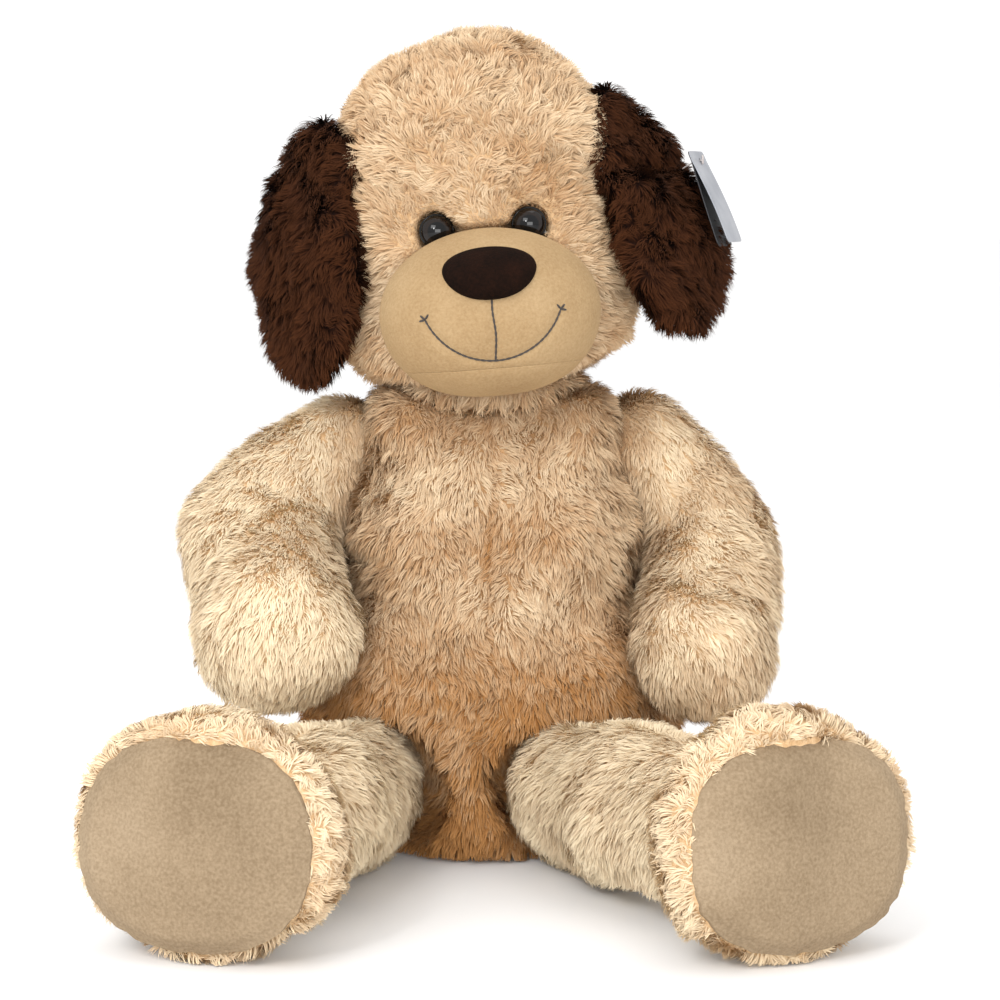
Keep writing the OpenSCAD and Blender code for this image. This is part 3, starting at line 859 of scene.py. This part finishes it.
def stitched_line(path, stitch=0.0042, thick=0.00075, sides=8):
    """Points and faces of a row of stitches along a line of points (n, 3) in head axes."""
    step = np.linalg.norm(np.diff(path, axis=0), axis=1)
    along = np.concatenate([[0], np.cumsum(step)])
    count = max(3, int(along[-1] / 0.0005))
    s = np.linspace(0, along[-1], count)
    line = np.stack([np.interp(s, along, path[:, k]) for k in range(3)], 1)
    ahead = unit(np.gradient(line, axis=0))
    out = tangent(np.tile([0.0, -1.0, 0.0], (count, 1)), ahead)
    across = np.cross(ahead, out)
    swell = thick * (0.45 + 0.55 * np.abs(np.sin(math.pi * s / stitch)) ** 0.5)
    swell[[0, -1]] *= 0.2
    points = []
    for k in range(sides):
        a = 2 * math.pi * k / sides
        points.append(line + across * (swell * math.cos(a))[:, None] + out * (swell * 0.8 * math.sin(a))[:, None])
    points = np.array(points).transpose(1, 0, 2).reshape(-1, 3)
    faces = grid_faces(count, sides) + [tuple(range(sides))[::-1], tuple(range((count - 1) * sides, count * sides))]
    return points, faces


def build_mouth():
    """Embroidery: the stem under the nose, the smile, and three short stitches at each end."""
    def on_front(x, z):
        return np.stack([x, muzzle_front(x, z) - 0.0003, z], 1)

    angle = np.linspace(-SMILE_SPAN, SMILE_SPAN, 90)
    middle = SMILE_LOW + SMILE_R
    lines = [on_front(SMILE_R * np.sin(angle), middle - SMILE_R * np.cos(angle))]
    z = np.linspace(SMILE_LOW, HEAD.box("nose")[0][2] + 0.001, 40)
    lines.append(on_front(0.0006 * np.sin(z * 180), z))
    end = np.array([SMILE_R * math.sin(SMILE_SPAN), middle - SMILE_R * math.cos(SMILE_SPAN)])
    for sign in (1, -1):
        for dx, dz in ((0.0030, 0.0030), (-0.0024, 0.0034), (0.0040, -0.0010)):
            t = np.linspace(0, 1, 12)
            lines.append(on_front(sign * (end[0] + dx * t), end[1] + dz * t))
    points, faces = joined(stitched_line(line) for line in lines)
    mesh = mesh_from("mouth_embroidery", HEAD.back(points), faces)
    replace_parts(new_object("mouth_embroidery", mesh, "head", THREAD), "mouth_stitching")


# --- eyes ----------------------------------------------------------------------------------
def build_eyes():
    """Domed plastic eyes with a rolled rim, on a stem; v in the UV is the distance from the axis."""
    profile = [(0.0, -1.0), (0.18, -0.985), (0.36, -0.935), (0.54, -0.845), (0.70, -0.715), (0.80, -0.605),
               (0.86, -0.52), (0.885, -0.47), (0.91, -0.455), (0.955, -0.44), (0.99, -0.38), (1.0, -0.30),
               (0.985, -0.2), (0.94, 0.0), (0.8, 0.3), (0.3, 0.33), (0.24, 0.36), (0.22, 1.5), (0.0, 1.55)]
    cols = 72
    for s, _ in SIDES:
        a = np.linspace(0, 2 * math.pi, cols, endpoint=False)
        rows = [np.stack([r * np.cos(a), np.full(cols, y), r * np.sin(a)], 1) for r, y in profile[1:-1]]
        local = np.concatenate(rows + [[[0, profile[0][1], 0]], [[0, profile[-1][1], 0]]]) * EYE_R
        count = len(rows)
        faces = grid_faces(count, cols)
        front, back = count * cols, count * cols + 1
        faces += [(front, (c + 1) % cols, c)[::-1] for c in range(cols)]
        faces += [(back, (count - 1) * cols + c, (count - 1) * cols + (c + 1) % cols)[::-1] for c in range(cols)]
        mesh = mesh_from(f"eye_{s}_dome", HEAD.back(local + eye_middle(s)), faces)
        reach = np.hypot(local[:, 0], local[:, 2]) / EYE_R
        inside = np.where(local[:, 1] < 0, np.minimum(reach, 1), 1.0)
        loops = np.empty(len(mesh.loops), np.int32)
        mesh.loops.foreach_get("vertex_index", loops)
        uv = np.stack([np.full(len(loops), 0.5), inside[loops] * 0.96 + 0.02], 1).astype(np.float32)
        mesh.uv_layers.new(name="OFBake").uv.foreach_set("vector", uv.ravel())
        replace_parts(new_object(mesh.name, mesh, "head", EYE), f"eye_{s}")


# --- ears ----------------------------------------------------------------------------------
EAR_IN = 0.016                                 # the upper end of an ear lies closer to the head


def ear_shape(side, sign):
    ear = EAR[side]
    half = np.ptp(ear.to(node_points(f"ear_outer_{side}", f"ear_lining_{side}")), axis=0) / 2

    def change(p, n):
        q = ear.to(p)
        z = q[:, 2] / half[2]
        flare = 0.26 if sign > 0 else 0.08
        q[:, 1] *= 1.06 + flare * smoothstep(z, 0.2, -0.6)
        q[:, 1] -= (0.006 + 0.010 * smoothstep(z, -0.2, -0.9)) * (sign > 0)
        fold = crease(z - 0.30, 0.11) if sign > 0 else crease(z + 0.25, 0.25) * 0.35
        outer = q[:, 0] * sign > 0
        q[:, 0] -= sign * np.where(outer, 0.009, -0.001) * fold
        q[:, 0] -= sign * EAR_IN * smoothstep(z, 0.0, 0.8)
        q[:, 0] += sign * 0.006 * smoothstep(z, 0.1, -0.7) * (sign > 0)
        q = q + 0.0022 * np.stack([LUMPS(p * 1.6), LUMPS(p * 1.6 + 0.5), 0 * z], 1)
        return ear.back(q)
    return change


def build_ear(side, sign):
    ear = EAR[side]
    shells = [f"ear_outer_{side}", f"ear_lining_{side}"]
    skin = padded_skin(f"ear_{side}_skin", shells, f"ear_padding_{side}", f"ear_{side}", "brown_pile",
                       BROWN_BACKING, ear_shape(side, sign), rounds=4, fill=0.35, voxel=0.0042)

    def flow(points, facing):
        q = ear.to(points)
        rim = np.stack([0 * q[:, 0], q[:, 1] * 7, q[:, 2] * 2], 1) @ ear.axes
        return rim - UP * 0.7

    pile(f"ear_{side}_pile", skin.data, f"ear_{side}", BROWN, flow, 0.0115, 301 + 10 * sign,
         lean=50, lock=0.0062, mess=0.7, gather=0.5, spacing=0.0012, width=0.00105,
         tint=-0.02)
    wadding(f"ear_padding_{side}", f"ear_{side}", skin, depth=0.006)


# --- arms and legs -------------------------------------------------------------------------
def build_arm(side, sign):
    shoulder = SHOULDER[side]

    def change(p, n):
        return p + n * (0.0015 + 0.002 * LUMPS(p + 0.7))[:, None]

    shells = [f"arm_front_{side}", f"arm_back_{side}"]
    skin = padded_skin(f"arm_{side}_skin", shells, f"arm_stuffing_{side}", f"arm_{side}", "beige_pile",
                       BEIGE_BACKING, change, rounds=26, fill=0.65)

    def keep(p, n):
        return (np.linalg.norm(p - shoulder, axis=1) > 0.02) & ~((p[:, 0] * sign < 0.088) & (p[:, 2] > 0.25))

    def flow(points, facing):
        return np.array([sign * 0.3, -0.15, -1.0]) + 0 * points

    pile(f"arm_{side}_pile", skin.data, f"arm_{side}", BEIGE, flow, 0.009,
         401 + 10 * sign, keep=keep, mess=0.35, lean=58,
         tint=lambda p: 0.14 * smoothstep(p[:, 2], 0.17, 0.1) - 0.14 + 0.1 * sign
         # this term darkens the pile near the armpit: painted shade in the crease between arm and body
         + 0.4 * smoothstep(np.abs(p[:, 0]), 0.125, 0.095) * smoothstep(p[:, 2], 0.19, 0.22))
    wadding(f"arm_stuffing_{side}", f"arm_{side}", skin, depth=0.006)


SOLE_HALF = np.array([1.16, 0.985]) * SOLE_R      # half width and half height of a sole
SOLE_DROP = 0.0035                                 # its middle is this far below the leg's axis
SOLE_PUFF = 0.008                                  # how far its middle stands forward
SOLE_POWER = 2.35


def sole_reach(q):
    """1 at the sole's edge, less inside it."""
    x, z = q[:, 0] / SOLE_HALF[0], (q[:, 2] + SOLE_DROP) / SOLE_HALF[1]
    return (np.abs(x) ** SOLE_POWER + np.abs(z) ** SOLE_POWER) ** (1 / SOLE_POWER)


def build_sole(side):
    """A padded velour sole, sewn in so that its edge turns under the pile."""
    rings, cols = 30, 128
    a = np.linspace(0, 2 * math.pi, cols, endpoint=False)
    c, s = np.cos(a), np.sin(a)
    round_off = (np.abs(c) ** SOLE_POWER + np.abs(s) ** SOLE_POWER) ** (-1 / SOLE_POWER)
    pucker = 1 + 0.006 * np.sin(21 * a) + 0.004 * np.sin(34 * a + 1)
    rows = []
    for i in range(1, rings + 1):
        r = math.sin(math.pi / 2 * i / rings)
        rim = smoothstep(np.array(r), 0.85, 1.0)
        reach = r * round_off * (1 + (pucker - 1) * rim)
        y = SOLE_AT + SOLE_PUFF * (1 - r ** 2.4) ** 0.8 - 0.0035 * rim - 0.0012 * rim * np.sin(21 * a) ** 2
        y = y + 0.0012 * waves(51, 0.06)(np.stack([SOLE_HALF[0] * reach * c, 0 * c, SOLE_HALF[1] * reach * s], 1))
        rows.append(np.stack([SOLE_HALF[0] * reach * c, y, SOLE_HALF[1] * reach * s - SOLE_DROP], 1))
    tuck = rows[-1] * (0.99, 1, 0.99) - (0, 0.006, 0)
    points = np.concatenate(rows + [tuck, [[0, rows[0][:, 1].mean(), -SOLE_DROP]]])
    points = LEG[side].back(points)
    points[:, 2] = np.maximum(points[:, 2], FLOOR_CLEAR)
    tip = (rings + 1) * cols
    faces = grid_faces(rings + 1, cols) + [(tip, (c + 1) % cols, c)[::-1] for c in range(cols)]
    mesh = mesh_from(f"sole_{side}_velour", points, faces)
    soft_piece(mesh.name, mesh, f"leg_{side}", "sole_velour", SOLE, 0.8, f"sole_{side}")


INNER_SLIM = {"left": 0.009, "right": 0.018}       # each thigh is this much thinner on its inner side


def build_leg(side, sign):
    leg, hip = LEG[side], HIP[side]
    outward = sign * np.sign(leg.axes[0][0])           # +1 where the leg's x axis points outward

    def change(p, n):
        q = leg.to(p)
        foot = smoothstep(q[:, 1], 0.19, 0.27)
        heel = crease(q[:, 1] - 0.195, 0.03) * (q[:, 2] > 0)
        wide = 1 + 0.13 * smoothstep(q[:, 1], 0.2, 0.27)
        slim = INNER_SLIM[side] * smoothstep(q[:, 1], 0.14, 0.02) * smoothstep(-q[:, 0] * outward, 0.0, 0.03)
        p = p + leg.axes[0] * (q[:, 0] * (wide - 1) + outward * slim)[:, None]
        p = p + n * (0.0018 * LUMPS(p + 1.1) + 0.0035 * foot * (q[:, 2] > -0.05) - 0.004 * heel)[:, None]
        front = (q[:, 1] > SOLE_AT - 0.012) & (sole_reach(q) < 1.0)
        p = p - np.where(front, 0.004, 0.0)[:, None] * leg.axes[1]
        p[:, 2] = np.maximum(p[:, 2], SKIN_CLEAR)
        return p

    shells = [f"leg_top_{side}", f"leg_bottom_{side}"]
    skin = padded_skin(f"leg_{side}_skin", shells, f"leg_stuffing_{side}", f"leg_{side}", "beige_pile",
                       BEIGE_BACKING, change, rounds=16, fill=0.7)

    def keep(p, n):
        q = leg.to(p)
        sole = (q[:, 1] > SOLE_AT - 0.02) & (sole_reach(q) < 0.99)
        return ~sole & (np.linalg.norm(p - hip, axis=1) > 0.02) & ((p[:, 2] > 0.004) | (q[:, 1] > SOLE_AT - 0.02))

    def flow(points, facing):
        q = leg.to(points)
        radial = unit(np.stack([q[:, 0], 0 * q[:, 0], q[:, 2] + SOLE_DROP], 1) @ leg.axes)
        around = unit(np.stack([q[:, 0], 0 * q[:, 0], 0 * q[:, 2]], 1) @ leg.axes)
        rim = smoothstep(q[:, 1], 0.235, 0.285)[:, None]
        body = around * 0.5 - UP - leg.axes[1] * 0.15
        return body * (1 - rim) + (radial - leg.axes[1] * 0.15) * rim

    def length(p):
        return LIMB_PILE - 0.002 * smoothstep(leg.to(p)[:, 1], 0.25, 0.29)

    pile(f"leg_{side}_pile", skin.data, f"leg_{side}", BEIGE, flow, length, 501 + 10 * sign,
         keep=keep, lean=56, mess=lambda p: 0.35 + 0.75 * smoothstep(leg.to(p)[:, 1], 0.24, 0.28),
         tint=lambda p: 0.22 * smoothstep(leg.to(p)[:, 1], 0.2, 0.28) - 0.25)
    build_sole(side)
    wadding(f"leg_stuffing_{side}", f"leg_{side}", skin, depth=0.006)


def build_tail():
    skin = padded_skin("tail_pelt", ["tail_skin"], "tail_stuffing", "tail", "beige_pile", BEIGE_BACKING,
                       rounds=5, fill=0.6, voxel=0.004)
    pile("tail_pile", skin.data, "tail", BEIGE, away_from(TAIL - (0, 0.03, 0), 0.3), 0.015, 601,
         keep=lambda p, n: np.linalg.norm(p - TAIL, axis=1) > 0.012)
    wadding("tail_stuffing", "tail", skin, depth=0.003)


# --- tag, label and small CAD pieces -------------------------------------------------------
def flat_frame(node):
    """Axes of a thin plate: x across, y through it, z along it, with its half sizes."""
    p = np.unique(np.round(node_points(node), 6), axis=0)
    tri = NODES[node].data
    area = np.empty(len(tri.polygons), np.float32)
    tri.polygons.foreach_get("area", area)
    nor = np.empty(len(tri.polygons) * 3, np.float32)
    tri.polygons.foreach_get("normal", nor)
    through = nor.reshape(-1, 3)[area.argmax()].astype(float)
    along = tangent(UP[None], through[None])[0]
    local = Local(p.mean(0), np.cross(through, along), through)
    low, high = local.box(node)
    local.origin = local.back((low + high) / 2)
    return local, (high - low) / 2


def card(name, local, half, body, material, node, bend, hole=None, corner=0.004, step=0.0015):
    """A card with round corners and a punched hole, bent by bend(x, z)."""
    curve = bpy.data.curves.new(name, "CURVE")
    curve.dimensions = "2D"
    curve.fill_mode = "BOTH"
    curve.extrude = max(half[1], 0.00025)
    outline = []
    for cx, cz, start in ((1, 1, 0), (-1, 1, 90), (-1, -1, 180), (1, -1, 270)):
        for a in np.radians(np.linspace(start, start + 90, 7)):
            outline.append((cx * (half[0] - corner) + corner * math.cos(a),
                            cz * (half[2] - corner) + corner * math.sin(a)))
    dense = []
    for (ax, az), (bx, bz) in zip(outline, outline[1:] + outline[:1]):
        n = max(1, int(math.hypot(bx - ax, bz - az) / step))
        dense += [(ax + (bx - ax) * i / n, az + (bz - az) * i / n) for i in range(n)]
    loops = [dense]
    if hole is not None:
        hx, hz, r = hole
        loops.append([(hx + r * math.cos(a), hz + r * math.sin(a)) for a in np.linspace(0, 2 * math.pi, 25)[:-1]])
    for points in loops:
        spline = curve.splines.new("POLY")
        spline.points.add(len(points) - 1)
        for at, (x, z) in zip(spline.points, points):
            at.co = (x, z, 0, 1)
        spline.use_cyclic_u = True
    source = bpy.data.objects.new(name + "_outline", curve)
    bpy.context.scene.collection.objects.link(source)
    mesh = bpy.data.meshes.new_from_object(source.evaluated_get(bpy.context.evaluated_depsgraph_get()))
    bpy.data.objects.remove(source)
    mesh.name = name
    q = vertices(mesh)
    flat = np.stack([q[:, 0], -q[:, 2] + bend(q[:, 0], q[:, 1]), q[:, 1]], 1)
    set_vertices(mesh, local.back(flat))
    obj = new_object(name, mesh, body, material, smooth=False)
    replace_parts(obj, node)


def build_tag():
    """Two cards on a plastic T-bar: silver in front, black behind, fallen a little open."""
    swing = np.array(JOINTS["tag_swing"]["pos_m"])
    for name, node, slot, material, gap in (("tag_cover_card", "tag_cover", "silver_card", SILVER, 0.0),
                                            ("tag_leaf_card", "tag_leaf", "black_card", BLACK_CARD, 0.006)):
        local, half = flat_frame(node)
        outward = 1 if np.dot(local.axes[1], np.array([1.0, 0, 0])) > 0 else -1
        hole = local.to(swing)

        def bend(x, z, half=half, gap=gap, outward=outward, hole=hole):
            down = np.clip((hole[2] - z) / (2 * half[2]), 0, 1)
            curl = 0.0022 if gap == 0 else 0.0011
            return outward * (curl * np.sin(down * 2.6) - gap * np.sin(down * math.pi / 2))

        card(name, local, half, "tag", material, node, bend, hole=(hole[0], hole[2], 0.0021))
    build_fastener(swing)


def build_fastener(swing):
    """A clear plastic T: a thin filament through the tag with a bar outside it."""
    low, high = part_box("tag_fastener")
    middle = (np.array(low) + np.array(high)) / 2
    reach = np.linalg.norm(np.array(high) - np.array(low)) / 2
    ahead = unit(swing - middle)
    line = np.linspace(middle - ahead * reach * 0.8, middle + ahead * reach * 0.95, 24)
    line[:, 2] += 0.0008 * np.sin(np.linspace(0, math.pi, 24))
    bar = line[-1] + UP[None] * np.linspace(-0.0032, 0.0032, 14)[:, None]
    mesh = mesh_from("tag_fastener_bar", *joined((tube(line, 0.0005, 10), tube(bar, 0.0008, 10))))
    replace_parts(new_object(mesh.name, mesh, "ear_left", CLEAR_PLASTIC), "tag_fastener")


def tube(path, radius, sides):
    """Points and faces of a round bar along a path, with rounded ends."""
    ahead = unit(np.gradient(path, axis=0))
    guide = np.array([0.0, 1.0, 0.0])
    across = tangent(np.tile(guide, (len(path), 1)), ahead)
    other = np.cross(ahead, across)
    size = np.full(len(path), radius)
    size[[0, -1]] *= 0.5
    a = np.linspace(0, 2 * math.pi, sides, endpoint=False)
    points = (path[:, None] + size[:, None, None] * (across[:, None] * np.cos(a)[None, :, None]
                                                     + other[:, None] * np.sin(a)[None, :, None])).reshape(-1, 3)
    n = len(path)
    faces = grid_faces(n, sides) + [tuple(range(sides))[::-1], tuple(range((n - 1) * sides, n * sides))]
    return points, faces


def build_label():
    """A satin care label, blank, sewn in low on the back and hanging in a soft curl."""
    local, half = flat_frame("care_label")
    outward = 1 if local.axes[1][1] > 0 else -1
    cols, rows = 15, 33
    x = np.linspace(-half[0], half[0], cols)
    z = np.linspace(half[2], -half[2], rows)
    gx, gz = np.meshgrid(x, z)
    down = (half[2] - gz) / (2 * half[2])
    y = outward * (0.0045 * np.sin(down * 2.4) + 0.0009 * np.sin(gx / half[0] * 2.2) * down)
    points = local.back(np.stack([gx, y, gz], -1).reshape(-1, 3))
    mesh = mesh_from("care_label_satin", points, grid_faces(rows, cols, closed_cols=False))
    obj = new_object("care_label_satin", mesh, "torso", LABEL)
    thick = obj.modifiers.new("thickness", "SOLIDIFY")
    thick.thickness = 0.0004
    thick.offset = 0
    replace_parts(obj, "care_label")


def dress(node, material, smooth=True):
    """A CAD node that keeps its shape and gets its material."""
    mesh = NODES[node].data
    mesh.materials.clear()
    mesh.materials.append(material)
    mesh.polygons.foreach_set("use_smooth", np.full(len(mesh.polygons), smooth))


# --- stage ---------------------------------------------------------------------------------
def build_stage():
    """A plain pale floor."""
    s = Shader("studio_floor", roughness=0.9, specular=0.1)
    s.surface.inputs["Base Color"].default_value = (0.9, 0.9, 0.9, 1)
    reach, step = 30.0, 7
    points = [(x, y, 0.0) for y in np.linspace(-reach, reach, step) for x in np.linspace(-reach, reach, step)]
    mesh = mesh_from("floor", points, grid_faces(step, step, closed_cols=False), outward=False)
    mesh.materials.append(s.material)
    floor = bpy.data.objects.new("floor", mesh)
    bpy.context.scene.collection.objects.link(floor)


def area_light(name, place, size, power, target=(0, -0.1, 0.28)):
    data = bpy.data.lights.new(name, "AREA")
    data.shape = "RECTANGLE"
    data.size, data.size_y = size
    data.energy = power
    light = bpy.data.objects.new(name, data)
    light.location = place
    light.rotation_mode = "QUATERNION"
    light.rotation_quaternion = (Vector(target) - Vector(place)).to_track_quat("-Z", "Y")
    bpy.context.scene.collection.objects.link(light)


def build_lights():
    world = bpy.data.worlds.new("studio")
    world.use_nodes = True
    world.node_tree.nodes["Background"].inputs["Color"].default_value = (1, 1, 1, 1)
    world.node_tree.nodes["Background"].inputs["Strength"].default_value = 1.12
    bpy.context.scene.world = world
    area_light("key", (-1.0, -2.3, 1.8), (1.4, 1.0), 28)
    area_light("front", (0.4, -2.9, 0.6), (1.8, 1.0), 38)
    area_light("top", (0.1, 0.3, 2.4), (1.6, 1.2), 8)
    area_light("catch", (-0.7, -2.2, 1.2), (0.2, 0.34), 9)
    bpy.context.scene.view_settings.view_transform = "Standard"
    bpy.context.scene.view_settings.look = "None"


CAMERA_AT = (0.0063, -2.1, 0.456)
CAMERA_PITCH = 0.1012                              # downwards, in radians
CAMERA_LENS = 107.9                                # mm, on a 36 mm sensor


def build_camera():
    """The photograph's view: a little above the dog's middle, straight in front."""
    data = bpy.data.cameras.new("camera")
    data.sensor_width = 36.0
    data.lens = CAMERA_LENS
    camera = bpy.data.objects.new("camera", data)
    camera.location = CAMERA_AT
    camera.rotation_euler = (math.pi / 2 - CAMERA_PITCH, 0, 0)
    bpy.context.scene.collection.objects.link(camera)
    bpy.context.scene.camera = camera


build_camera()
build_stage()
build_lights()
build_torso()
build_head()
build_neck_seam()
build_muzzle()
build_nose()
build_mouth()
build_eyes()
for side_name, side_sign in SIDES:
    build_ear(side_name, side_sign)
    build_arm(side_name, side_sign)
    build_leg(side_name, side_sign)
    dress(f"arm_seam_{side_name}", SEAM)
    dress(f"leg_seam_{side_name}", SEAM)
build_tail()
build_tag()
build_label()
dress("eye_washers", WHITE_PLASTIC)
